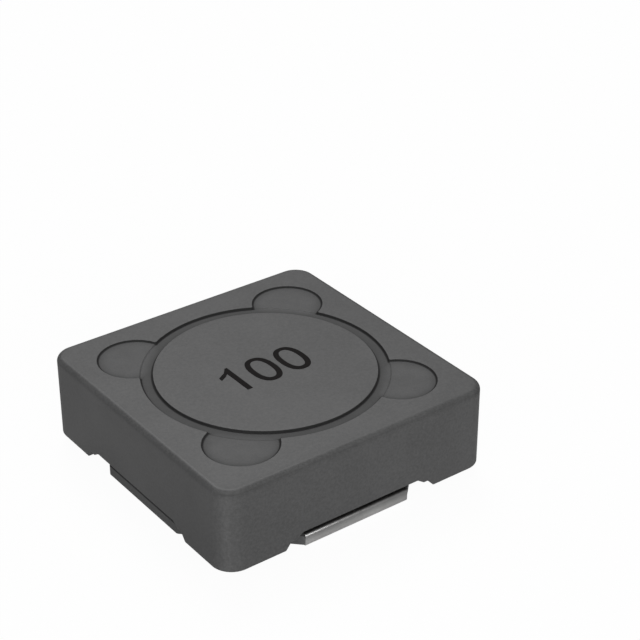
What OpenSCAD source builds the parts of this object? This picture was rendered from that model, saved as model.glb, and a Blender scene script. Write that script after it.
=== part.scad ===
// Shielded surface-mount power inductor: a wound ferrite drum bonded into a square ferrite shield.
// Millimetres, +Z up. The origin is the middle of the footprint, on the plane of the solder pads.
// One terminal lies on the -Y side and the other on the +Y side.

/* [Shield core] */
// Width of the shield across its flat sides
shield_w = 12.5; // [12:0.1:14]
// Height of the shield from its feet to its top face
shield_h = 3.56; // [3.2:0.02:4.6]
// Height of the shield's feet above the plane of the solder pads
stand_off = 0.44; // [0.38:0.01:0.55]
// Thinnest wall, between the bore and a flat side
side_wall = 1.3; // [1.1:0.02:1.5]
// Radius of the upright corners
corner_r = 0.9; // [0.6:0.02:1.2]
// Radius of the rounded edge round the top face
top_round = 0.23; // [0.1:0.01:0.3]
// Bevel round the outer edge under the feet
foot_bevel = 0.04; // [0.02:0.01:0.1]

/* [Corner pockets] */
// Diameter of the round pocket through each corner
pocket_d = 2.95; // [2.6:0.05:3.3]
// Distance of a pocket's axis from the middle, along X and along Y
pocket_at = 3.76; // [3.6:0.02:4]

/* [Side notches] */
// Gap along the side between a straight flange edge's end and the foot of the notch's inner ramp
notch_end_gap = 0.3; // [0.1:0.01:0.4]
// Depth of the notch floor above the feet
notch_depth = 0.52; // [0.4:0.01:0.7]
// Depth of the ledge at either end of the notch above the feet
ledge_depth = 0.31; // [0.2:0.01:0.38]
// Length of the ledge along the side
ledge_run = 0.24; // [0.1:0.01:0.4]
// Length along the side of the ramp between the notch floor and the ledge
inner_ramp = 0.31; // [0.1:0.01:0.4]
// Length along the side of the ramp between the ledge and the foot
outer_ramp = 0.24; // [0.1:0.01:0.4]

/* [Drum core] */
// Gap between the rim of the drum's disc and the bore
ring_gap = 0.5; // [0.3:0.01:0.6]
// Thickness of the disc that closes the bore at the top
disc_t = 0.8; // [0.6:0.02:1.1]
// Fillet between the post and both flanges
post_fillet = 0.15; // [0.05:0.01:0.2]
// Distance that the flange's straight sides stand back from the shield's sides
flange_inset = 0.315; // [0.2:0.005:0.6]
// Length of each of the flange's four straight sides
flange_side = 4.9; // [4.2:0.1:5.4]
// Thickness of the eight-sided flange at the bottom
flange_t = 0.5; // [0.4:0.01:0.56]

/* [Terminals] */
// Thickness of the terminal strip
terminal_t = 0.1; // [0.06:0.01:0.14]
// Length of the terminal's lower and upper leg, inwards from its side
terminal_leg = 2.35; // [2.3:0.05:2.8]
// Height by which the terminal stands proud of the flange's bottom and side
terminal_proud = 0.05; // [0.01:0.01:0.06]

/* [Winding] */
// Diameter of the enamelled wire
wire_d = 0.5; // [0.3:0.02:0.6]
// Pairs of layers: one up and one down, so that both leads leave beside the flange
layer_pairs = 2; // [1:1:3]
// Gap between neighbouring turns and neighbouring layers
wire_gap = 0.02; // [0.01:0.01:0.05]
// Gap between the post and the first layer
post_gap = 0.04; // [0.04:0.01:0.1]
// Gap that the outermost layer keeps inside the disc's rim
rim_gap = 0.1; // [0.05:0.01:0.3]
// Height of the two leads above the terminals, filled by the solder
lead_lift = 0.03; // [0.01:0.01:0.05]
// Gap between a lead's end and the bore
lead_end_gap = 0.13; // [0.1:0.01:0.4]
// Angle between a terminal's middle and the end of the lead on it
lead_turn = 15; // [10:1:20]

/* [Solder] */
// Diameter of a solder joint on its terminal
solder_d = 1; // [0.8:0.05:1.1]
// Height of a solder joint
solder_h = 0.42; // [0.3:0.01:0.5]
// Distance of a solder joint's middle from the lead's end
solder_back = 0.3; // [0.2:0.01:0.4]

/* [Adhesive] */
// Depth of the adhesive's surface in the ring gap below the top face
ring_fill_drop = 0.11; // [0.04:0.01:0.2]
// Depth of the adhesive's surface in the corner pockets below the top face
pocket_fill_drop = 0.07; // [0.02:0.01:0.2]
// Depth of the adhesive's underside below the top face
fill_depth = 0.7; // [0.4:0.02:0.8]

/* [Hidden] */
$fn = 96;

ferrite_grey = "#5f5f60";
adhesive_grey = "#57575a";
tin_silver = "#d4d4d6";
solder_silver = "#b9bbbe";
enamel_copper = "#a4562c";

// Margin by which a cut runs past the faces that it opens
over = 1;

// Levels
top_z = stand_off + shield_h;
flange_z = terminal_proud;
seat_z = flange_z + flange_t;
disc_z = top_z - disc_t;

// Plan sizes that follow from the shield
bore_r = shield_w / 2 - side_wall;
disc_r = bore_r - ring_gap;
flange_half = shield_w / 2 - flange_inset;
side_half = flange_side / 2;
leg_end = flange_half - terminal_leg;

// Notch profile, outwards from the middle of a side
floor_end = side_half + notch_end_gap;
ledge_start = floor_end + inner_ramp;
ledge_end = ledge_start + ledge_run;
foot_start = ledge_end + outer_ramp;

// Winding, whose layers fill the room under the disc, and the post that they leave inside them
wire_r = wire_d / 2;
pitch = wire_d + wire_gap;
layers = 2 * layer_pairs;
last_r = disc_r - rim_gap - wire_r;
first_r = last_r - (layers - 1) * pitch;
post_r = first_r - wire_r - post_gap;
lead_z = seat_z + lead_lift + wire_r;
turns = floor((disc_z - lead_z - wire_r) / pitch);
lead_r = bore_r - wire_r - lead_end_gap;
// Each turn runs level and climbs to the next in a quarter turn, a quarter earlier in each layer
jog = 90;
step = 18;
sides = 8;
coil_turn = 90 + lead_turn + jog + acos(first_r / lead_r);
last_jog = jog_start(layers - 1, turns - 1);
// Angle round the coil at which the outermost turn leaves for its terminal, soon after its last jog
settle = 20;
leave = last_jog + settle - 360
    + wrap(270 + lead_turn - coil_turn - acos(last_r / lead_r) - last_jog - settle);

function wrap(a) = a - 360 * floor(a / 360);
function layer_r(k) = first_r + k * pitch;
function level_z(i) = lead_z + (i + 1) * pitch;
function level_of(k, j) = k % 2 == 0 ? j : turns - 1 - j;
function layer_start(k) = 360 * turns * k - jog * max(k - 1, 0);
function jog_start(k, j) = layer_start(k) + (k == 0 ? 360 - jog : 360 - 2 * jog) + 360 * j;

// Radius and height of the wire's centre line against the angle round the coil
coil_radii = [[-jog, first_r], [0, first_r],
    for (k = [0 : layers - 2]) each
        [[jog_start(k, turns - 1), layer_r(k)], [jog_start(k, turns - 1) + jog, layer_r(k + 1)]]];
coil_heights = [[-jog, lead_z], [0, level_z(0)],
    for (k = [0 : layers - 1], j = [0 : turns - 2]) each
        [[jog_start(k, j), level_z(level_of(k, j))],
         [jog_start(k, j) + jog, level_z(level_of(k, j + 1))]]];

function coil_point(a) = let (r = lookup(a, coil_radii))
    [r * cos(a + coil_turn), r * sin(a + coil_turn), lookup(a, coil_heights)];
function heading(a) = [-sin(a + coil_turn), cos(a + coil_turn), 0];

// The leads run straight along a tangent: each is listed from the coil outwards
start_run = sqrt(lead_r ^ 2 - first_r ^ 2);
finish_run = sqrt(lead_r ^ 2 - last_r ^ 2);
solder_run = solder_back + solder_d / 2 + wire_gap;
// Share of the finish lead's free run over which it comes down to its terminal
drop_share = 0.85;
function start_point(d) = coil_point(-jog) - d * heading(-jog);
function finish_point(d, z) = let (p = coil_point(leave) + d * heading(leave)) [p[0], p[1], z];
start_lead = [start_point(start_run - solder_run), start_point(start_run)];
finish_lead = [finish_point(finish_run - solder_run, lead_z), finish_point(finish_run, lead_z)];
drop_end = finish_point(drop_share * (finish_run - solder_run), lead_z);
wire_path = [start_lead[1], start_lead[0], for (a = [-jog : step : leave - step / 2]) coil_point(a),
    coil_point(leave), drop_end, finish_lead[0], finish_lead[1]];

function unit(v) = v / norm(v);
function path_heading(path, i) =
    i == 0 ? unit(path[1] - path[0])
    : i == len(path) - 1 ? unit(path[i] - path[i - 1])
    : unit(unit(path[i + 1] - path[i]) + unit(path[i] - path[i - 1]));
// The ring's radius gives the eight-sided section the area of the round wire
ring_r = wire_r * sqrt(2 * PI / (sides * sin(360 / sides)));
function ring(path, i) = let (t = path_heading(path, i), s = unit(cross(t, [0, 0, 1])), u = cross(s, t))
    [for (q = [0 : sides - 1]) let (b = 360 * (q + 0.5) / sides)
        path[i] + ring_r * (cos(b) * s + sin(b) * u)];

// Round wire swept along a path
module wire_along(path) {
    last = len(path) - 1;
    points = [for (i = [0 : last]) each ring(path, i)];
    polyhedron(points, [
        [for (q = [sides - 1 : -1 : 0]) q],
        [for (q = [0 : sides - 1]) last * sides + q],
        for (i = [0 : last - 1], q = [0 : sides - 1]) let (a = i * sides + q, b = i * sides + (q + 1) % sides)
            each [[a, b, a + sides], [b, b + sides, a + sides]]
    ], convexity = 12);
}

// Upright half section of the shield's block, from its middle out to reach
module edge_section(reach) {
    difference() {
        union() {
            square([reach, shield_h - top_round]);
            square([reach - top_round, shield_h]);
            translate([reach - top_round, shield_h - top_round]) circle(top_round);
        }
        polygon([[reach - foot_bevel, 0], [reach, foot_bevel], [2 * reach, foot_bevel],
            [2 * reach, -foot_bevel], [reach - foot_bevel, -foot_bevel]]);
    }
}

// Solid block with rounded upright corners and a rounded top edge
module shield_block() {
    half = shield_w / 2;
    straight = half - corner_r;
    for (a = [0 : 90 : 270]) rotate(a) {
        rotate([90, 0, 0]) linear_extrude(2 * straight, center = true) edge_section(half);
        translate([straight, straight, 0]) rotate_extrude(angle = 90) edge_section(corner_r);
    }
}

// Stepped notch profile, seen along a side's normal, with the feet at zero
module notch_profile() {
    right = [[floor_end, notch_depth], [ledge_start, ledge_depth], [ledge_end, ledge_depth],
        [foot_start, 0], [foot_start, -stand_off]];
    left = [for (i = [len(right) - 1 : -1 : 0]) [-right[i][0], right[i][1]]];
    polygon(concat(right, left));
}

module at_pockets() {
    for (a = [45 : 90 : 315]) rotate(a) translate([pocket_at * sqrt(2), 0, 0]) children();
}

module shield_core() {
    color(ferrite_grey) translate([0, 0, stand_off]) difference() {
        shield_block();
        translate([0, 0, -over]) cylinder(r = bore_r, h = shield_h + 2 * over);
        at_pockets() translate([0, 0, -over]) cylinder(d = pocket_d, h = shield_h + 2 * over);
        for (a = [0, 90]) rotate([90, 0, a])
            linear_extrude(shield_w + 2 * over, center = true) notch_profile();
    }
}

// Half section of the post with a fillet at both ends, where it runs on into the disc and the flange
module post_section() {
    h = disc_z - seat_z;
    root = min(disc_t, flange_t) / 4;
    difference() {
        translate([0, -root]) square([post_r + post_fillet, h + 2 * root]);
        for (z = [post_fillet, h - post_fillet]) translate([post_r + post_fillet, z]) circle(post_fillet);
        translate([post_r, post_fillet]) square([2 * post_fillet, h - 2 * post_fillet]);
    }
}

// Outline of the flange: straight sides joined by corners cut at 45 degrees
module flange_outline() {
    polygon([for (a = [0 : 90 : 270]) each [
        [flange_half * cos(a) + side_half * sin(a), flange_half * sin(a) - side_half * cos(a)],
        [flange_half * cos(a) - side_half * sin(a), flange_half * sin(a) + side_half * cos(a)]]]);
}

// Rectangle that a terminal's strip wraps, seen along X with Y to the right
module wrapped_section() {
    rebate = terminal_t - terminal_proud;
    translate([leg_end - over, flange_z + rebate])
        square([terminal_leg + over - rebate, flange_t - rebate - terminal_t]);
}

// Outer section of the strip, with rounded bends
module terminal_section() {
    right = flange_half + terminal_proud;
    difference() {
        union() {
            translate([leg_end, 0]) square([right - terminal_t - leg_end, seat_z]);
            translate([leg_end, terminal_t]) square([right - leg_end, seat_z - 2 * terminal_t]);
            for (z = [terminal_t, seat_z - terminal_t])
                translate([right - terminal_t, z]) circle(terminal_t);
        }
        wrapped_section();
    }
}

// Stands a section seen along X upright on the +Y side, over the length of the straight side
module along_side() {
    rotate([90, 0, 90]) linear_extrude(flange_side, center = true) children();
}

module terminal(a) {
    color(tin_silver) rotate(a) along_side() terminal_section();
}

module terminal_front() terminal(180);
module terminal_back() terminal(0);

// Rebate in the flange in which a terminal's strip lies
module terminal_rebate() {
    along_side() difference() {
        translate([leg_end, -over]) square([terminal_leg + over, seat_z + 2 * over]);
        wrapped_section();
    }
}

module drum_core() {
    color(ferrite_grey) difference() {
        union() {
            translate([0, 0, disc_z]) cylinder(r = disc_r, h = disc_t);
            translate([0, 0, seat_z]) rotate_extrude() post_section();
            translate([0, 0, flange_z]) linear_extrude(flange_t) flange_outline();
        }
        for (a = [0, 180]) rotate(a) terminal_rebate();
    }
}

module winding() {
    color(enamel_copper) wire_along(wire_path);
}

// Solder joint: a flat-bottomed cap on the terminal, round the end of its lead
module solder_joint(lead) {
    ball_r = (solder_d ^ 2 / 4 + solder_h ^ 2) / (2 * solder_h);
    spot = lead[1] - solder_back * unit(lead[1] - lead[0]);
    color(solder_silver) difference() {
        translate([spot[0], spot[1], seat_z]) rotate_extrude() intersection() {
            translate([0, solder_h - ball_r]) circle(ball_r);
            square([solder_d, solder_h]);
        }
        wire_along(lead);
    }
}

module solder_start() solder_joint(start_lead);
module solder_finish() solder_joint(finish_lead);

// One cured mass: a ring round the drum's disc, and a fill in the top of each corner pocket
module adhesive() {
    base = top_z - fill_depth;
    color(adhesive_grey) {
        difference() {
            translate([0, 0, base]) cylinder(r = bore_r, h = fill_depth - ring_fill_drop);
            translate([0, 0, base - over]) cylinder(r = disc_r, h = fill_depth + over);
        }
        difference() {
            at_pockets() translate([0, 0, base]) cylinder(d = pocket_d, h = fill_depth - pocket_fill_drop);
            translate([0, 0, base - over]) cylinder(r = bore_r, h = fill_depth + over);
        }
    }
}

shield_core();
drum_core();
winding();
terminal_front();
terminal_back();
solder_start();
solder_finish();
adhesive();
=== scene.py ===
import math

import bpy
import numpy as np
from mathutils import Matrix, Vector


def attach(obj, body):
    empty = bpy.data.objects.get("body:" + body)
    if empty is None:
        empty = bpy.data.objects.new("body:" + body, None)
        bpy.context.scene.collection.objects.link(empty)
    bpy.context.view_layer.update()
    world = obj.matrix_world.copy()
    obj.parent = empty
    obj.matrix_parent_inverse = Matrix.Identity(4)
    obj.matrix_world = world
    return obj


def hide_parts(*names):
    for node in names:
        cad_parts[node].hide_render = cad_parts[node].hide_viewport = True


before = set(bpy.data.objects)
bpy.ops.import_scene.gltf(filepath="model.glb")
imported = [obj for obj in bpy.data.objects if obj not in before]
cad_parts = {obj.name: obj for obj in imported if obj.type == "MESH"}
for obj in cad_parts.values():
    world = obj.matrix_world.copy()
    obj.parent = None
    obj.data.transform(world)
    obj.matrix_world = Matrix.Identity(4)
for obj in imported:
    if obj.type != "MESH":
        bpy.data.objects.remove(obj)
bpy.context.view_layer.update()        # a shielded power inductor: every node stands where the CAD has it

mm = 0.001        # lengths in the dictionaries are millimetres, apart from the lamps'
hold = 0.012        # a row of points this close to an edge keeps the flat face beside it flat
print("frame loaded:", ", ".join(sorted(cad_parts)))


# grids, outlines and edges

def gridMesh(name, points, poles=False, **marks):
    # points is columns x rows x 3. Each point is joined to the next column and the next row, and the last
    # column to the first. The rows close into a loop, or with poles the first and the last row shrink to
    # one point each. marks are numbers on the points, which the finish reads.
    columns, rows = points.shape[:2]
    here = np.arange(columns * rows).reshape(columns, rows)
    if poles:
        here[:, 0], here[:, -1] = 0, rows - 1
    beside = np.roll(here, -1, axis=0)
    cells = np.stack([here, beside, np.roll(beside, -1, axis=1), np.roll(here, -1, axis=1)], -1)
    if poles:
        # a cell beside a pole has two of its corners there, so it is a triangle
        quads, fans = cells[:, 1:-2], np.concatenate([cells[:, 0, [0, 2, 3]], cells[:, -2, :3]])
    else:
        quads, fans = cells, np.zeros((0, 3), int)
    used = np.unique(here)
    faces = np.searchsorted(used, quads.reshape(-1, 4)).tolist() + np.searchsorted(used, fans).tolist()
    return pieceFrom(name, points.reshape(-1, 3)[used], faces,
                     **{mark: values.reshape(-1)[used] for mark, values in marks.items()})


def pieceFrom(name, points, faces, **marks):
    mesh = bpy.data.meshes.new(name)
    mesh.from_pydata(points * mm, [], faces)
    for mark, values in marks.items():
        mesh.attributes.new(mark, "FLOAT", "POINT").data.foreach_set("value", values.astype(np.float32))
    mesh.shade_smooth()
    piece = bpy.data.objects.new(name, mesh)
    bpy.context.scene.collection.objects.link(piece)
    return piece


def quarter(radius, count=7):
    # a rounded edge: how far a quarter circle's points lie back from either of the two faces that it joins,
    # radius * (1 - sin(turn)) and radius * (1 - cos(turn))
    turn = np.linspace(0, math.pi / 2, count)
    return radius * (1 - np.sin(turn)), radius * (1 - np.cos(turn))


def lift(plan, level):
    # plan is complex, x + iy, and level the height of each of its points
    return np.stack([plan.real, plan.imag, level + 0 * plan.real], -1)


def allRound(side):
    # one side, which faces -Y, and the corner after it, repeated by quarter turns counter-clockwise
    return np.concatenate([side * 1j ** k for k in range(4)])


def finished(piece, finish, slotName, *nodes):
    piece.data.materials.clear()
    piece.data.materials.append(finish)
    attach(piece, "root")
    if nodes:
        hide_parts(*nodes)
    print("made", piece.name, len(piece.data.polygons), "faces")


# finishes

class Socket:
    # one output of a node; the usual operators on it add Math nodes
    def __init__(self, finish, output):
        self.finish, self.output = finish, output

    def __add__(self, other):
        return self.finish.maths("ADD", self, other)

    def __radd__(self, other):
        return self.finish.maths("ADD", other, self)

    def __sub__(self, other):
        return self.finish.maths("SUBTRACT", self, other)

    def __rsub__(self, other):
        return self.finish.maths("SUBTRACT", other, self)

    def __mul__(self, other):
        return self.finish.maths("MULTIPLY", self, other)

    def __rmul__(self, other):
        return self.finish.maths("MULTIPLY", other, self)

    def __truediv__(self, other):
        return self.finish.maths("DIVIDE", self, other)

    def __rtruediv__(self, other):
        return self.finish.maths("DIVIDE", other, self)


class Finish:
    # a material or a world while it is made
    def __init__(self, owner, end="ShaderNodeOutputMaterial"):
        owner.use_nodes = True
        self.owner, self.tree = owner, owner.node_tree
        self.tree.nodes.clear()
        self.last = self.tree.nodes.new(end)

    def node(self, kind, settings=None, sockets=None, out=0):
        # the settings go first, then the sockets' values and links
        made = self.tree.nodes.new(kind)
        for key, value in (settings or {}).items():
            setattr(made, key, value)
        for key, value in (sockets or {}).items():
            self.feed(made.inputs[key], value)
        return Socket(self, made.outputs[out])

    def feed(self, target, value):
        if isinstance(value, Socket):
            self.tree.links.new(value.output, target)
        else:
            target.default_value = value

    def maths(self, operation, *values):
        return self.node("ShaderNodeMath", {"operation": operation}, dict(enumerate(values)))

    def place(self):
        # the piece's own coordinates, in millimetres
        spot = self.node("ShaderNodeTexCoord", out="Object")
        return self.node("ShaderNodeVectorMath", {"operation": "SCALE"}, {0: spot, "Scale": 1 / mm})

    def part(self, where, axis):
        return self.node("ShaderNodeSeparateXYZ", None, {0: where}, out=axis)

    def stretched(self, where, x, y, z):
        return self.node("ShaderNodeVectorMath", {"operation": "MULTIPLY"}, {0: where, 1: (x, y, z)})

    def noise(self, where, size, detail=3, rough=0.5):
        # soft noise from 0 to 1 whose lumps are about size across
        return self.node("ShaderNodeTexNoise", None,
                         {"Vector": where, "Scale": 1 / size, "Detail": detail, "Roughness": rough})

    def step(self, value, low, high):
        # 0 below low, 1 above high, and a soft step between them
        return self.node("ShaderNodeMapRange", {"interpolation_type": "SMOOTHSTEP"},
                         {0: value, 1: low, 2: high})

    def blend(self, factor, first, second):
        return self.node("ShaderNodeMix", {"data_type": "RGBA"}, {0: factor, 6: first, 7: second}, out=2)

    def greys(self, factor, look, times=1):
        # from the look's dark grey to its light one
        dark, light = (grey(look[end] * times, look["tint"]) for end in ("dark", "light"))
        return self.blend(factor, dark, light)

    def mark(self, name):
        return self.node("ShaderNodeAttribute", {"attribute_name": name}, out="Fac")

    def bump(self, height, depth, normal=None):
        # depth is the height in millimetres that 1 stands for
        sockets = {"Height": height, "Distance": depth * mm, "Strength": 1}
        if normal is not None:
            sockets["Normal"] = normal
        return self.node("ShaderNodeBump", None, sockets)

    def close(self, shader):
        self.feed(self.last.inputs[0], shader)
        return self.owner


def grey(level, tint=(1, 1, 1)):
    return tuple(level * part for part in tint) + (1,)


# Pressed and fired ferrite: a matt dark grey with a fine grain, faint clouds and a few pinholes. The upright
# corners are a little lighter. The mark on the points is painted shade, which darkens some edges and makes
# them rougher.
ferriteLook = {
    "dark": 0.060, "light": 0.096, "tint": (1.0, 1.0, 1.005), "rough": 0.42, "gloss": 0.5,
    "cloud": 2.4, "cloudShare": 0.3, "grain": 0.11, "grainDepth": 0.0025, "toneFrom": (0.25, 0.75),
    "pinhole": 0.55, "pinholeEdge": (0.085, 0.03), "pinholeDark": 0.6, "pinholeDepth": 1.5,
    "patch": 0.9, "patchEdge": (0.55, 0.62), "roughGrain": 0.16, "roughOnShade": 1.5,
    "cornerLighter": 1.12, "cornerAt": 5.35, "cornerFrom": (0.77, 0.82), "cornerAside": (0.34, 0.04),
    "cornerStart": (0, 0.05), "cornerLeast": 0.8, "cornerCloud": 0.4,
}


def makeFerrite():
    look = ferriteLook
    made = Finish(bpy.data.materials.new("pressedFerrite"))
    where = made.place()
    clouds = made.noise(where, look["cloud"], 3)
    grain = made.noise(where, look["grain"], 4, 0.65)
    # small pits, which lie in patches
    pits = made.node("ShaderNodeTexVoronoi", None, {"Vector": where, "Scale": 1 / look["pinhole"]})
    pinholes = (made.step(pits, *look["pinholeEdge"])
                * made.step(made.noise(where, look["patch"], 1), *look["patchEdge"]))
    tone = made.step(clouds * look["cloudShare"] + grain * (1 - look["cloudShare"]), *look["toneFrom"])
    tone = tone * (1 - look["pinholeDark"] * pinholes)
    body, lighter = made.greys(tone, look), made.greys(tone, look, look["cornerLighter"])
    # a corner is past the corner's axis both ways, and close to the diagonal between them
    acrossX, acrossY = (made.maths("ABSOLUTE", made.part(where, axis)) - look["cornerAt"] for axis in "XY")
    out = made.maths("SQRT", acrossX * acrossX + acrossY * acrossY)
    aside = made.maths("ABSOLUTE", (acrossX - acrossY) / (acrossX + acrossY))
    corner = (made.step(out, *look["cornerFrom"]) * made.step(aside, *look["cornerAside"])
              * made.step(acrossX, *look["cornerStart"]) * made.step(acrossY, *look["cornerStart"]))
    body = made.blend(corner * (look["cornerLeast"] + look["cornerCloud"] * clouds), body, lighter)
    # painted shade: the mark darkens the colour towards black and roughens the surface there
    dull = made.mark("dull")
    shader = made.node("ShaderNodeBsdfPrincipled", None, {
        "Base Color": made.blend(dull, body, grey(0)),
        "Roughness": look["rough"] + look["roughGrain"] * (grain - 0.5) + look["roughOnShade"] * dull,
        "Specular IOR Level": look["gloss"],
        "Normal": made.bump(grain - look["pinholeDepth"] * pinholes, look["grainDepth"]),
    })
    return made.close(shader)


# Filled epoxy, a little darker and smoother than the ferrite. It has painted shade towards the walls, and a
# painted shadow, nearly black, where it climbs them.
resinLook = {
    "dark": 0.068, "light": 0.099, "tint": (1.0, 1.0, 1.01), "rough": 0.6, "roughGrain": 0.1,
    "wave": 0.7, "waveShare": 0.35, "waveDepth": 0.02, "grain": 0.06, "grainDepth": 0.003,
    "toneFrom": (0.25, 0.75), "film": 0.006, "filmWave": 0.1, "filmEdge": (0.1, 0.75), "roughWallShadow": 0.25,
}


def makeResin():
    look = resinLook
    made = Finish(bpy.data.materials.new("filledResin"))
    where = made.place()
    waves = made.noise(where, look["wave"], 2)
    grain = made.noise(where, look["grain"], 3, 0.6)
    # painted shadow where the resin climbs a wall
    film = made.step(made.mark("film") + look["filmWave"] * (waves - 0.5), *look["filmEdge"])
    tone = made.step(waves * look["waveShare"] + grain * (1 - look["waveShare"]), *look["toneFrom"])
    # painted shade towards the walls
    body = made.blend(made.mark("shade"), made.greys(tone, look), grey(0))
    shader = made.node("ShaderNodeBsdfPrincipled", None, {
        "Base Color": made.blend(film, body, grey(look["film"])),
        "Roughness": look["rough"] + look["roughWallShadow"] * film + look["roughGrain"] * (grain - 0.5),
        "Normal": made.bump(waves, look["waveDepth"], made.bump(grain, look["grainDepth"])),
    })
    return made.close(shader)


# Satin tin plating on rolled strip: soft clouds, and faint lines along the rolling direction, which is X.
# The mark on the points is painted shade, which darkens the strip towards its upper leg.
tinLook = {
    "dark": 0.77, "light": 0.87, "tint": (1.0, 0.995, 0.985), "rough": 0.36, "roughCloud": 0.1,
    "roughLine": 0.06, "cloud": 0.8, "cloudEdge": (0.3, 0.7), "line": 0.05, "alongLine": 0.06,
    "grain": 0.05, "lineShare": 0.5, "depth": 0.004,
}


def makeTin():
    look = tinLook
    made = Finish(bpy.data.materials.new("satinTin"))
    where = made.place()
    clouds = made.noise(where, look["cloud"], 4, 0.6)
    lines = made.noise(made.stretched(where, look["alongLine"], 1, 1), look["line"], 2)
    grain = made.noise(where, look["grain"], 3, 0.6)
    bright = made.greys(made.step(clouds, *look["cloudEdge"]), look)
    relief = lines * look["lineShare"] + grain * (1 - look["lineShare"])
    shader = made.node("ShaderNodeBsdfPrincipled", None, {
        # painted shade from the mark darkens the plating
        "Base Color": made.blend(made.mark("dull"), bright, grey(0)),
        "Metallic": 1.0,
        "Roughness": look["rough"] + look["roughCloud"] * (clouds - 0.5) + look["roughLine"] * (lines - 0.5),
        "Normal": made.bump(relief, look["depth"]),
    })
    return made.close(shader)


# Smooth solder, with soft ripples and a fine frost
solderLook = {
    "dark": 0.52, "light": 0.70, "tint": (1, 1, 1), "rough": 0.24, "roughFrost": 0.2, "frost": 0.05,
    "ripple": 0.3, "depth": 0.012,
}


def makeSolder():
    look = solderLook
    made = Finish(bpy.data.materials.new("tinSolder"))
    where = made.place()
    ripples = made.noise(where, look["ripple"], 3)
    frost = made.noise(where, look["frost"], 3, 0.7)
    shader = made.node("ShaderNodeBsdfPrincipled", None, {
        "Base Color": made.greys(frost, look),
        "Metallic": 1.0,
        "Roughness": look["rough"] + look["roughFrost"] * (frost - 0.5),
        "Normal": made.bump(ripples, look["depth"]),
    })
    return made.close(shader)


# Copper seen through clear reddish enamel, which pools a little along the wire
wireLook = {
    "thin": (0.40, 0.13, 0.05), "thick": (0.26, 0.075, 0.025), "metal": 0.75, "rough": 0.3,
    "roughPool": 0.12, "pool": 0.5, "coat": 0.6, "coatRough": 0.12, "grain": 0.05, "depth": 0.002,
}


def makeWire():
    look = wireLook
    made = Finish(bpy.data.materials.new("enamelledCopper"))
    where = made.place()
    pools = made.noise(where, look["pool"], 3)
    grain = made.noise(where, look["grain"], 2)
    shader = made.node("ShaderNodeBsdfPrincipled", None, {
        "Base Color": made.blend(pools, (*look["thin"], 1), (*look["thick"], 1)),
        "Metallic": look["metal"],
        "Roughness": look["rough"] + look["roughPool"] * (pools - 0.5),
        "Coat Weight": look["coat"],
        "Coat Roughness": look["coatRough"],
        "Normal": made.bump(grain, look["depth"]),
    })
    return made.close(shader)


# Stamped black ink, thinner in places, so that a little of the grey shows through
inkLook = {
    "full": (0.0125, 0.0110, 0.0110), "thin": (0.021, 0.019, 0.019), "rough": 0.7, "roughThin": 0.2,
    "gloss": 0.06, "patch": 0.16, "thinEdge": (0.5, 0.72), "depth": 0.003,
}


def makeInk():
    look = inkLook
    made = Finish(bpy.data.materials.new("stampedInk"))
    where = made.place()
    patches = made.noise(where, look["patch"], 4, 0.7)
    thin = made.step(patches, *look["thinEdge"])
    shader = made.node("ShaderNodeBsdfPrincipled", None, {
        "Base Color": made.blend(thin, (*look["full"], 1), (*look["thin"], 1)),
        "Roughness": look["rough"] + look["roughThin"] * thin,
        "Specular IOR Level": look["gloss"],
        "Normal": made.bump(patches, look["depth"]),
    })
    return made.close(shader)


ferrite, resin, tin, solder, enamel, ink = (
    makeFerrite(), makeResin(), makeTin(), makeSolder(), makeWire(), makeInk())
print("finishes made")


# The shield, a pressed square ring. The edges that the CAD leaves sharp have a fired part's small rounds.
shield = {
    "width": 12.5, "top": 4.0, "feet": 0.44, "cornerRadius": 0.9, "topRound": 0.23, "footRound": 0.04,
    "boreRadius": 4.95, "pocketRadius": 1.475, "pocketAt": 3.76, "cuspRound": 0.07, "boreEdge": 0.02,
    "notchAt": (2.75, 3.06, 3.30, 3.54), "notchDepth": (0.52, 0.31, 0.31, 0.0), "notchSoft": 0.05,
    "pastNotch": 0.1, "pastCusp": 0.12,
    "dullRound": {"sides": 0.09, "ends": 0.27, "corners": 0.36}, "dullAt": 0.6, "dullOver": 0.7,
    "dullBelow": 0.12, "dullBore": 0.5,
}


def notchRise(along):
    # height of a side's lower edge above the feet: straight runs between the notch's corners, softened by
    # the mean of nearby places
    near = np.linspace(-0.5, 0.5, 9) * shield["notchSoft"]
    return np.interp(np.abs(along)[..., None] + near, shield["notchAt"], shield["notchDepth"]).mean(-1)


def cuspCircle():
    # the small circle between the bore and a pocket touches both from the outside, so its middle lies where
    # the two circles, each wider by its radius, cross
    far = shield["pocketAt"] * math.sqrt(2)
    fromBore = shield["boreRadius"] + shield["cuspRound"]
    fromPocket = shield["pocketRadius"] + shield["cuspRound"]
    along = (far ** 2 + fromBore ** 2 - fromPocket ** 2) / (2 * far)
    return complex(along, math.sqrt(fromBore ** 2 - along ** 2)) * np.exp(0.25j * math.pi)


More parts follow.
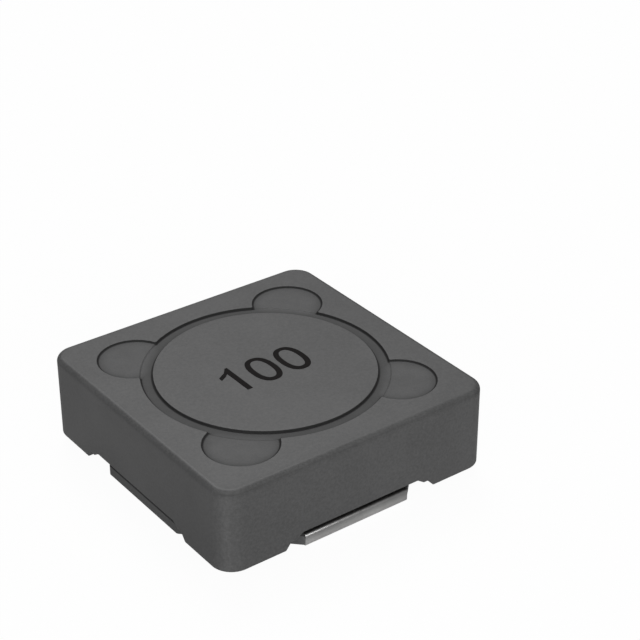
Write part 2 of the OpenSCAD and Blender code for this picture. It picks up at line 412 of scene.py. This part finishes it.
def shieldOutlines():
    # The outer and inner outline in plan, each with normals that point out of the ferrite. Over a side both
    # points of a column have the same distance along it, so that the notch is straight through the wall.
    # Round a corner the outer point runs evenly along the edge, and the inner one evenly round the pocket.
    half, bore, pocket = shield["width"] / 2, shield["boreRadius"], shield["pocketRadius"]
    axis = complex(shield["pocketAt"], -shield["pocketAt"])
    cusp = np.conj(cuspCircle())
    boreEnd = (bore * cusp / abs(cusp)).real
    pocketStart = (axis + pocket * (cusp - axis) / abs(cusp - axis)).real
    # columns along half a side: even ones to just past the notch, close ones over the cusp and the pocket's
    # start, and seven over each of the notch's corners
    run, pocketClose = shield["notchAt"][-1] + shield["pastNotch"], shield["pastCusp"]
    soft = shield["notchSoft"] * np.array([-0.6, -0.5, -0.25, 0, 0.25, 0.5, 0.6])
    at = np.concatenate([
        np.linspace(0, run, 27), np.linspace(boreEnd, pocketStart, 9),
        pocketStart + np.linspace(0, pocketClose, 6), np.add.outer(shield["notchAt"], soft).ravel()])
    at = np.unique(np.round(at, 5))
    at = np.concatenate([-at[:0:-1], at])
    size, sign = np.abs(at), np.sign(at)
    onBore, onPocket = size < boreEnd, size > pocketStart
    depth = np.where(onBore, np.sqrt(bore ** 2 - np.minimum(size, bore) ** 2), np.where(
        onPocket, -axis.imag + np.sqrt(np.maximum(pocket ** 2 - (size - axis.real) ** 2, 0)),
        -cusp.imag - np.sqrt(np.maximum(shield["cuspRound"] ** 2 - (size - cusp.real) ** 2, 0))))
    inner = size - 1j * depth
    innerNormal = np.where(onBore, -inner / bore, np.where(
        onPocket, (axis - inner) / pocket, (inner - cusp) / shield["cuspRound"]))
    inner = inner.real * sign + 1j * inner.imag
    innerNormal = innerNormal.real * np.where(sign < 0, -1, 1) + 1j * innerNormal.imag
    outer, outerNormal = at - 1j * half, np.full(len(at), -1j)

    # the corner after that side: straight on, round by a quarter turn, and straight on to the next side
    radius = shield["cornerRadius"]
    straight = half - radius
    share = np.linspace(0, 1, 74)[1:-1]
    length = share * (2 * (straight - run) + radius * math.pi / 2)
    turn = np.clip((length - (straight - run)) / radius, 0, math.pi / 2)
    before = np.minimum(length, straight - run)
    after = np.maximum(length - (straight - run) - radius * math.pi / 2, 0)
    cornerNormal = np.sin(turn) - 1j * np.cos(turn)
    corner = complex(run, -straight) + before + radius * cornerNormal + 1j * after
    first = np.angle(inner[-1] - axis)
    swing = first + share * (-math.pi / 2 - 2 * first)
    return [allRound(np.concatenate(pair)) for pair in (
        (outer, corner), (outerNormal, cornerNormal),
        (inner, axis + pocket * np.exp(1j * swing)), (innerNormal, -np.exp(1j * swing)))]


def makeShield():
    # A section carried round the ring: up the outer wall, over the top, down the inner wall and back below.
    # A row lies inset from the outer outline, or from the inner one, or on the way from one to the other.
    outer, outerNormal, inner, innerNormal = shieldOutlines()
    foot, top = quarter(shield["footRound"], 6), quarter(shield["topRound"], 13)
    bore = quarter(shield["boreEdge"], 6)
    sole, rim, lip = shield["footRound"] + hold, shield["topRound"] + hold, shield["boreEdge"] + hold
    rows = [        # share of the way to the inner outline, both insets, 1 for heights from the top, height
        *[(0, back, 0, 0, rise) for back, rise in zip(*foot)],
        (0, 0, 0, 0, sole), (0, 0, 0, 1, -rim - shield["dullBelow"]), (0, 0, 0, 1, -rim),
        *[(0, back, 0, 1, -drop) for drop, back in zip(*top)],
        *[(share, rim, lip, 1, 0) for share in (0, 0.25, 0.5, 0.75, 1)],
        *[(1, 0, back, 1, -drop) for back, drop in zip(*bore)],
        (1, 0, 0, 1, -lip), (1, 0, 0, 0, lip),
        *[(1, 0, back, 0, rise) for rise, back in zip(*bore)],
        (1, 0, lip, 0, 0), (0, sole, 0, 0, 0),
    ]
    share, outerInset, innerInset, fromTop, height = np.array(rows, float).T
    plan = ((1 - share) * (outer[:, None] - outerNormal[:, None] * outerInset)
            + share * (inner[:, None] - innerNormal[:, None] * innerInset))
    lower = shield["feet"] + notchRise(np.minimum(np.abs(plan.real), np.abs(plan.imag)))
    level = np.where(fromTop == 1, shield["top"], lower) + height
    # painted shade on the bore's edge and on the top round, most of all a part of the way down it. How much
    # goes
    # by the way that it faces: x * x over the sides, y * y over the ends, (2 * x * y) squared over corners
    onBore = (share == 1) * (fromTop == 1) * np.clip(1 - innerInset / shield["boreEdge"], 0, 1)
    onRound = (share == 0) * (fromTop == 1) * np.clip(
        1 - np.abs(-height / shield["topRound"] - shield["dullAt"]) / shield["dullOver"], 0, 1)
    facing, most = outerNormal[:, None], shield["dullRound"]
    across = (2 * facing.real * facing.imag) ** 2
    along = most["sides"] * facing.real ** 2 + most["ends"] * facing.imag ** 2
    dull = onRound * ((1 - across) * along + across * most["corners"]) + shield["dullBore"] * onBore
    return gridMesh("shieldBody", lift(plan, level), dull=dull)


finished(makeShield(), ferrite, "ferrite", "shield_core")


# The drum: a disc that closes the bore, a post, and an eight-sided flange with a rebate for either terminal
drum = {
    "discRadius": 4.45, "discUnder": 3.2, "top": 4.0, "discEdge": 0.022, "postRadius": 2.25,
    "postFillet": 0.15, "flangeHalf": 5.935, "sideHalf": 2.45, "rebateStart": 3.585, "flangeUnder": 0.03,
    "flangeTop": 0.55, "flangeEdge": 0.035, "flangeTopEdge": 0.09, "cornerSoft": 0.12,
    "rebateUnder": 0.07, "rebateSide": 0.05, "rebateTop": 0.1,
    "dullEdge": 0.65, "dullFrom": 5.7, "dullBelow": 0.03, "dullRow": 0.04, "dullRim": 0.8, "rimFrom": 3.3,
}


def softLoop(length, corners, knots, spread):
    # a place along the closed outline through the corners, softened by the mean of nearby places
    near = np.linspace(-0.5, 0.5, 9) * spread
    spot = (length[:, None] + near) % knots[-1]
    return (np.interp(spot, knots, corners.real) + 1j * np.interp(spot, knots, corners.imag)).mean(-1)


def drumOutlines():
    # The flange's outline and the smaller eight-sided outline at the rebates' inner ends. Both have the same
    # distance along a side, so that a rebate's ends are square to it. A normal is at right angles to the way
    # from just behind a point to just ahead of it.
    half, side, start = drum["flangeHalf"], drum["sideHalf"], drum["rebateStart"]
    corners = allRound(np.array([-side - 1j * half, side - 1j * half]))
    inside = allRound(np.array([-side - 1j * start, side - 1j * start]))
    corners, inside = np.append(corners, corners[0]), np.append(inside, inside[0])
    knots = np.concatenate([[0], np.cumsum(np.abs(np.diff(corners)))])
    soft = drum["cornerSoft"] * np.linspace(-0.5, 0.5, 9)
    sharp = np.array([-0.001, 0.001])        # a rebate's end: one column on either side of it
    length = np.concatenate([np.linspace(0, knots[-1], 161)[:-1], np.add.outer(knots[:-1], soft).ravel(),
                             np.add.outer(knots[:-1], sharp).ravel()]) % knots[-1]
    length = np.unique(np.round(length, 5))
    behind, outline, ahead = (softLoop(length + way, corners, knots, drum["cornerSoft"])
                              for way in (-0.01, 0, 0.01))
    normal = -1j * (ahead - behind) / np.abs(ahead - behind)
    inwards = softLoop(length, inside, knots, 0.0)
    onTerminal = (length % (2 * knots[2]) < 2 * side) * 1.0        # the first side and the one opposite
    return outline, normal, inwards, onTerminal[:, None]


def makeDrum():
    # A section carried round the axis, from the middle underneath to the middle of the disc. Its rows are
    # circles under the flange's middle, on the post and on the disc, and outlines of the flange between.
    outline, normal, inwards, rebate = drumOutlines()
    heading = (outline / np.abs(outline))[:, None]

    def circles(radius, height):
        return lift(heading * np.asarray(radius), np.asarray(height, float) + 0 * rebate)

    def onFlange(back, height):
        return lift(outline[:, None] - normal[:, None] * (back + rebate * drum["rebateSide"]), height)

    def onRebate(out, height):
        # beside the rebate's inner end
        return lift(inwards[:, None] + out * (outline - inwards)[:, None], height)

    # the flange's upper edge is worn rounder where it is bare
    edge, bareEdge = drum["flangeEdge"], drum["flangeTopEdge"]
    topEdge = bareEdge + rebate * (edge - bareEdge)
    under = drum["flangeUnder"] + rebate * drum["rebateUnder"]
    over = drum["flangeTop"] - rebate * drum["rebateTop"]
    back, rise = quarter(edge)
    topBack, topRise = (part * topEdge for part in quarter(1))
    fillet, discEdge = quarter(drum["postFillet"], 8), quarter(drum["discEdge"])
    post, disc = drum["postRadius"], drum["discRadius"]
    # the plain radii and heights only divide the flat faces and the post
    rows = [
        circles([0, 0.8, 1.6, 2.4, 3.2], drum["flangeUnder"]),
        onRebate(0, drum["flangeUnder"]), onRebate(0.001, under),
        onFlange(edge + hold, under), onFlange(back, under + rise), onFlange(0, under + edge + hold),
        onFlange(0, over - topEdge - drum["dullRow"]), onFlange(0, over - topEdge - hold),
        onFlange(topRise, over - topBack), onFlange(topEdge + hold, over),
        onRebate(0.001, over), onRebate(0, drum["flangeTop"]),
        circles(np.append(3.0, post + fillet[0][::-1]), drum["flangeTop"] + np.append(0, fillet[1][::-1])),
        circles([post, post], [1.5, 2.4]),
        circles(np.append(post + fillet[0], 3.2), drum["discUnder"] - np.append(fillet[1], 0)),
        circles(disc - drum["discEdge"] - hold, drum["discUnder"]),
        circles(disc - discEdge[0], drum["discUnder"] + discEdge[1]),
        circles([disc, disc], [drum["discUnder"] + 0.05, drum["top"] - drum["discEdge"] - hold]),
        circles(disc - discEdge[1], drum["top"] - discEdge[0]),
        circles([disc - drum["discEdge"] - hold, 3.4, 2.4, 1.4, 0.7, 0], drum["top"]),
    ]
    points = np.concatenate(rows, axis=1)
    # painted shade on the flange's bare upper edge, in the gap under the shield: all of it on its round,
    # fading out below. Also on the disc's upper edge, by (1 - distance from the rim / edge) squared.
    height, radius = points[..., 2], np.abs(points[..., 0] + 1j * points[..., 1])
    roundStart = drum["flangeTop"] - bareEdge
    onEdge = np.clip(1 - (roundStart - height) / drum["dullBelow"], 0, 1) * (radius > drum["dullFrom"])
    onRim = np.clip(1 - (disc - radius) / drum["discEdge"], 0, 1) ** 2 * (height > drum["rimFrom"])
    return gridMesh("drumBody", points, poles=True,
                    dull=drum["dullEdge"] * (1 - rebate) * onEdge + drum["dullRim"] * onRim)


finished(makeDrum(), ferrite, "ferrite", "drum_core")


# The cured resin round the disc and in the corner pockets. It wets every wall and climbs it a little.
fill = {
    "under": 3.3, "ringDrop": 0.11, "pocketDrop": 0.075, "stepWidth": 0.07, "stepFrom": 0.21, "lean": 0.2,
    "stepRows": 0.05, "besideStep": 0.06, "reach": 0.025, "belowWall": 0.013, "belowDisc": 0.045,
    "close": (0, 0.004, 0.009, 0.015, 0.024, 0.036, 0.055, 0.08, 0.11),
    "filmReach": 0.07, "shadeByDisc": (0.55, 0.36), "shadeByWall": (0.42, 0.25),
}


def makeResinFill():
    # A section carried round the gap: up the shield's wall, straight over to the disc, down its rim and back.
    # The surface rises towards a wall as exp(-gap / reach), from the two levels of the fill, which meet in a
    # soft step over the bore's circle. Inside both the bore and a pocket the gap to the wall is the larger of
    # the gaps to the two.
    outer, _, inner, _ = shieldOutlines()
    inner = inner[:, None]
    disc, bore, pocket = drum["discRadius"], shield["boreRadius"], shield["pocketRadius"]
    # a column's end at the disc leans towards its outer point, so that the columns never turn back
    rim = disc * np.exp(1j * (np.angle(inner) + fill["lean"] * np.angle(outer[:, None] / inner)))
    span = np.abs(inner - rim)
    # rows crowd together at both walls and at the step, and lie evenly between
    step = np.maximum(span - (bore - disc), fill["stepFrom"])
    close, run = np.array(fill["close"]), np.linspace(0, 1, 9)[1:-1]
    atStep, beside = np.linspace(-fill["stepRows"], fill["stepRows"], 7), fill["besideStep"]
    way = np.concatenate([
        close + 0 * span, close[-1] + (step - beside - close[-1]) * run, step + atStep,
        step + beside + (span - close[-1] - step - beside) * run, span - close[::-1]], axis=1)
    plan = inner + (rim - inner) * way / span
    radius = np.abs(plan)
    axis = shield["pocketAt"] * (np.where(plan.real < 0, -1, 1) + 1j * np.where(plan.imag < 0, -1, 1))
    toWall, toDisc = np.maximum(bore - radius, pocket - np.abs(plan - axis)), radius - disc
    gap = np.minimum(toWall, toDisc).clip(0)
    raised = np.clip((radius - bore) / fill["stepWidth"] + 0.5, 0, 1)
    raised = raised ** 2 * (3 - 2 * raised)
    drop = fill["ringDrop"] + (fill["pocketDrop"] - fill["ringDrop"]) * raised
    below = np.where(toWall < toDisc, fill["belowWall"], fill["belowDisc"])
    level = shield["top"] - drop + (drop - below) * np.exp(-gap / fill["reach"])
    # painted shadow, strongest where the fill meets a wall
    film = np.exp(-(gap / fill["filmReach"]) ** 2)
    # painted shade: the disc and the shield's wall each take away a share of the grey, as share * exp(-(gap /
    # width) ** 2)
    light = 1.0
    for (share, width), distance in ((fill["shadeByDisc"], toDisc), (fill["shadeByWall"], toWall)):
        light = light * (1 - share * np.exp(-(distance / width) ** 2))
    # a row at either wall's foot closes the section underneath, without a mark
    under = np.full((len(plan), 1), fill["under"])
    plan = np.concatenate([plan[:, :1], plan, plan[:, -1:]], axis=1)
    level, film, shade = (np.concatenate([end, middle, end], axis=1)
                          for end, middle in ((under, level), (0 * under, film), (0 * under, 1 - light)))
    return gridMesh("resinFill", lift(plan, level), film=film, shade=shade)


finished(makeResinFill(), resin, "adhesive", "adhesive")


# The two terminals: tinned strip folded round opposite edges of the flange
strip = {
    "width": 4.9, "thick": 0.1, "side": 5.985, "inner": 3.585, "top": 0.55, "lowBend": 0.055,
    "highBend": 0.08, "crown": 0.06, "edge": 0.02, "dull": 0.6, "dullFrom": 0.22,
}


def makeTerminal(name, turn):
    # A rounded rectangle, the strip's section, carried along its fold: along the lower leg, up the side and
    # back along the upper leg. Both ends shrink to a point in the middle of the end face. The side is an arc
    # of a large circle, crown radians to either side of level, and each bend a small arc that goes on from
    # it, so that every point of the fold is middle + radius * exp(i * heading).
    half, edge, crown = strip["thick"] / 2, strip["edge"], strip["crown"]
    right, low, high = strip["side"] - half, half, strip["top"] - half
    bends = np.array([strip["lowBend"], strip["highBend"]])
    arc = ((high - low - bends.sum()) / math.sin(crown) + bends.sum()) / 2
    level = low + bends[0] + (arc - bends[0]) * math.sin(crown)
    heading = np.concatenate([np.linspace(-math.pi / 2, -crown, 9), np.linspace(-crown, crown, 9)[1:-1],
                              np.linspace(crown, math.pi / 2, 9)])
    bend = bends[(heading > 0) * 1]
    radius = np.where(np.abs(heading) < crown - 1e-6, arc, bend)
    joint = math.cos(crown) + 1j * np.sign(heading) * math.sin(crown)        # where the side meets a bend
    middle = complex(right - arc, level) + (arc - radius) * joint
    legs = strip["inner"] + np.array([0, 0, edge])
    path = np.concatenate([legs + 1j * low, middle + radius * np.exp(1j * heading), legs[::-1] + 1j * high])
    outwards = np.concatenate([[-1j] * 3, np.exp(1j * heading), [1j] * 3])        # y + iz
    back, rise = quarter(edge, 4)
    corner = (strip["width"] / 2 - back) + 1j * (half - rise)        # across + i outwards
    section = np.concatenate([corner, np.conj(corner)[::-1], -corner, -np.conj(corner)[::-1]])
    narrow, thin = (np.concatenate([[0, 1 - edge / size], np.ones(len(path) - 4), [1 - edge / size, 0]])
                    for size in (strip["width"] / 2, half))
    across = section.real[:, None] * narrow
    spot = path + outwards * (section.imag[:, None] * thin)
    points = np.stack([across, spot.real, spot.imag], -1)
    points[..., :2] *= turn
    # painted shade, which grows evenly from its starting height to the top
    up = (points[..., 2] - strip["dullFrom"]) / (strip["top"] - strip["dullFrom"])
    return gridMesh(name, points, poles=True, dull=strip["dull"] * np.clip(up, 0, 1))


finished(makeTerminal("terminalBack", 1), tin, "terminal", "terminal_back")
finished(makeTerminal("terminalFront", -1), tin, "terminal", "terminal_front")


# The stamped number: a one and two zeros in plain strokes
number = {
    "level": 4.0, "thick": 0.008, "sink": 0.003, "zeros": ((-0.087, 0.025), (1.297, 0.025)),
    "zeroHalf": (0.587, 0.925), "holeHalf": (0.345, 0.708), "holeUp": 0.015, "power": 2.35,
    "one": ((-1.45, -0.86), (-1.207, -0.86), (-1.207, 0.95), (-1.317, 0.95), (-1.533, 0.683),
            (-1.883, 0.483), (-1.905, 0.38), (-1.893, 0.267), (-1.6, 0.433), (-1.45, 0.567)),
}
inkLow, inkHigh = number["level"] - number["sink"], number["level"] + number["thick"]


def oval(half):
    # |x / a| ^ power + |y / b| ^ power = 1, where half is (a, b)
    turn = np.linspace(0, 2 * math.pi, 97)[:-1]
    x, y = (np.sign(wave) * np.abs(wave) ** (2 / number["power"]) for wave in (np.cos(turn), np.sin(turn)))
    return half[0] * x + 1j * half[1] * y


def makeZero(name, middle):
    # between two ovals, one inside the other
    outside, hole = oval(number["zeroHalf"]), oval(number["holeHalf"]) + 1j * number["holeUp"]
    plan = complex(*middle) + np.stack([outside, outside, hole, hole], 1)
    return gridMesh(name, lift(plan, np.array([inkLow, inkHigh, inkHigh, inkLow])))


def makeOne(name):
    # the outline's corners, joined to a second copy of them below
    outline = np.array(number["one"]) @ (1, 1j)
    count = len(outline)
    points = np.concatenate([lift(outline, inkHigh), lift(outline, inkLow)])
    here, beside = np.arange(count), np.roll(np.arange(count), -1)
    sides = np.stack([here + count, beside + count, beside, here], -1).tolist()
    return pieceFrom(name, points, [here.tolist(), (here[::-1] + count).tolist(), *sides])


digits = [makeOne("numberOne")]
digits += [makeZero(f"numberZero{k}", middle) for k, middle in enumerate(number["zeros"])]
for piece in digits:
    piece.data.shade_flat()
    finished(piece, ink, "ferrite")


# The nodes that stay as the CAD has them
for nodeName, finish in (("winding", enamel), ("solder_start", solder), ("solder_finish", solder)):
    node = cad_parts[nodeName]
    node.data.materials.clear()
    node.data.materials.append(finish)
print("winding and solder finished")


# The stage: a white floor that keeps a faint shadow, a plain grey room, and soft lamps
stage = {
    "floorHalf": 600, "floorAt": -0.02, "floorGrey": 0.3, "paperGrain": 6.0, "paperSpread": 0.01,
    "floorGlow": 0.96, "floorShine": 0.15, "room": 0.205, "aim": 0.002,
    "lamps": {        # places, sizes and the height aimed at are in metres, power in watts
        "above": {"at": (0.193, 0.276, 0.834), "size": (0.4, 0.4), "power": 1.05},
        "behind": {"at": (0.232, 0.476, 0.729), "size": (0.4, 0.4), "power": 2.32},
        "cameraSide": {"at": (-0.260, -0.450, 0.179), "size": (1.1, 0.34), "power": 3.9},
    },
}


def makeFloor():
    # A flat square just below the pads, which isn't there when seen from below. The camera sees it as white
    # paper with a faint shadow, and the light that it sends back is that of a grey one.
    corner = np.array([-stage["floorHalf"] * (1 + 1j)])
    piece = pieceFrom("floor", lift(allRound(corner), stage["floorAt"]), [[0, 1, 2, 3]])
    made = Finish(bpy.data.materials.new("paleFloor"))
    rays = made.node("ShaderNodeLightPath").output.node.outputs
    seen, mirrored, through = (Socket(made, rays[f"Is {kind} Ray"])
                               for kind in ("Camera", "Glossy", "Transmission"))
    paper = made.noise(made.place(), stage["paperGrain"], 3)
    light = made.blend(paper, grey(stage["floorGrey"] - stage["paperSpread"]),
                       grey(stage["floorGrey"] + stage["paperSpread"]))
    lit = made.node("ShaderNodeBsdfPrincipled", None, {
        "Base Color": made.blend(seen, light, grey(1)), "Roughness": 0.9, "Specular IOR Level": 0.0})
    glow = made.node("ShaderNodeEmission", None, {"Color": grey(1), "Strength": 1.0})
    share = seen * stage["floorGlow"] + (mirrored + through) * stage["floorShine"]
    above = made.node("ShaderNodeMixShader", None, {0: share, 1: lit, 2: glow})
    below = made.node("ShaderNodeBsdfTransparent")
    fromBelow = made.node("ShaderNodeNewGeometry", out="Backfacing")
    made.close(made.node("ShaderNodeMixShader", None, {0: fromBelow, 1: above, 2: below}))
    piece.data.materials.append(made.owner)


def makeWorld():
    # white for the camera, and a plain grey room for everything else
    made = Finish(bpy.data.worlds.new("studio"), "ShaderNodeOutputWorld")
    seen = Socket(made, made.node("ShaderNodeLightPath").output.node.outputs["Is Camera Ray"])
    room = made.node("ShaderNodeBackground", None, {"Color": grey(stage["room"])})
    white = made.node("ShaderNodeBackground", None, {"Color": grey(1)})
    bpy.context.scene.world = made.close(made.node("ShaderNodeMixShader", None, {0: seen, 1: room, 2: white}))


def makeLamp(name, at, size, power):
    # a rectangle of light that faces the part
    lamp = bpy.data.lights.new(name, "AREA")
    lamp.shape, lamp.size, lamp.size_y, lamp.energy = "RECTANGLE", *size, power
    made = bpy.data.objects.new(name, lamp)
    made.location, made.visible_camera = at, False
    made.rotation_euler = (Vector((0, 0, stage["aim"])) - Vector(at)).to_track_quat("-Z", "Y").to_euler()
    bpy.context.scene.collection.objects.link(made)


makeFloor()
makeWorld()
for lampName, lampSettings in stage["lamps"].items():
    makeLamp(lampName, **lampSettings)
print("stage made")


# The camera: where the photograph was taken from, its turn in degrees, its nearest and farthest in metres
view = {"eye": (-33.986, -49.113, 40.668), "turn": (60.0044, 0.02, -36.753), "lens": 99.775, "sensor": 36.0,
        "clip": (0.001, 10)}
camera = bpy.data.cameras.new("camera")
camera.lens, camera.sensor_width = view["lens"], view["sensor"]
camera.clip_start, camera.clip_end = view["clip"]
cameraObject = bpy.data.objects.new("camera", camera)
cameraObject.location = Vector(view["eye"]) * mm
cameraObject.rotation_euler = [math.radians(angle) for angle in view["turn"]]
bpy.context.scene.collection.objects.link(cameraObject)
bpy.context.scene.camera = cameraObject
bpy.context.scene.view_settings.view_transform = "Standard"
print("camera placed")
